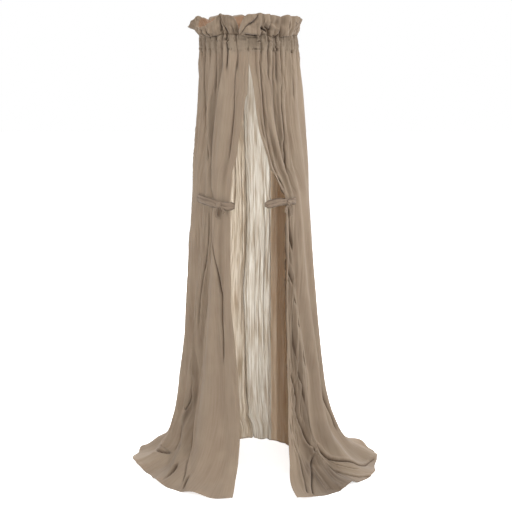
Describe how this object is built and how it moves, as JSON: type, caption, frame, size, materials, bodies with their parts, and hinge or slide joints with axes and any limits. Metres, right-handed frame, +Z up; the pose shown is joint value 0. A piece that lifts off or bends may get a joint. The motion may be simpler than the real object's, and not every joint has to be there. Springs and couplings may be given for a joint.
{
  "type": "bed crown canopy",
  "caption": "Tall gathered muslin veil on a hidden hoop, with an open frill on top and front curtains held aside by knotted ties over a floor-length train.",
  "frame": {"origin": "centre of the end face of the plug that carries the hoop, behind the veil", "axes": "+Z up, the front with the opening between the curtains faces -Y, +X to the right seen from the front"},
  "size_m": [0.8882, 0.6169, 1.5501],
  "materials": {
    "crinkled_muslin": "crinkled cotton muslin, taupe, matt",
    "back_muslin": "the same muslin in a single layer, lit through, with upright crinkle",
    "tie_muslin": "the same muslin folded into a narrow tie",
    "spring_wire": "bright drawn steel wire",
    "moulded_nylon": "off-white moulded plastic with a fine spark texture"
  },
  "bodies": {
    "root": {"hoop": "spring_wire", "hoop_holder": "moulded_nylon", "grub_screw_left": "spring_wire", "grub_screw_right": "spring_wire", "casing_outer": "crinkled_muslin", "casing_facing": "crinkled_muslin", "frill_front": "crinkled_muslin", "frill_back": "crinkled_muslin", "back_panel_left": "back_muslin", "back_panel_right": "back_muslin"},
    "left_drape": {"left_curtain": "crinkled_muslin", "left_tie_band": "tie_muslin", "left_tie_knot": "tie_muslin"},
    "right_drape": {"right_curtain": "crinkled_muslin", "right_tie_band": "tie_muslin", "right_tie_knot": "tie_muslin"},
    "left_tails": {"left_tie_tail_a": "tie_muslin", "left_tie_tail_b": "tie_muslin"},
    "right_tails": {"right_tie_tail_a": "tie_muslin", "right_tie_tail_b": "tie_muslin"}
  },
  "joints": [
    {"name": "left_curtain_draw", "type": "hinge", "parent": "root", "child": "left_drape", "pos_m": [0, -0.189, 0], "axis": [0, 0, -1], "range_deg": [0, 20]},
    {"name": "right_curtain_draw", "type": "hinge", "parent": "root", "child": "right_drape", "pos_m": [0, -0.189, 0], "axis": [0, 0, 1], "range_deg": [0, 20]},
    {"name": "left_tails_swing", "type": "hinge", "parent": "left_drape", "child": "left_tails", "pos_m": [-0.09985, -0.35517, -0.48237], "axis": [-0.515, -0.8572, 0], "range_deg": [-20, 20]},
    {"name": "right_tails_swing", "type": "hinge", "parent": "right_drape", "child": "right_tails", "pos_m": [0.13289, -0.3315, -0.47825], "axis": [0.682, -0.7314, 0], "range_deg": [-20, 20]}
  ]
}
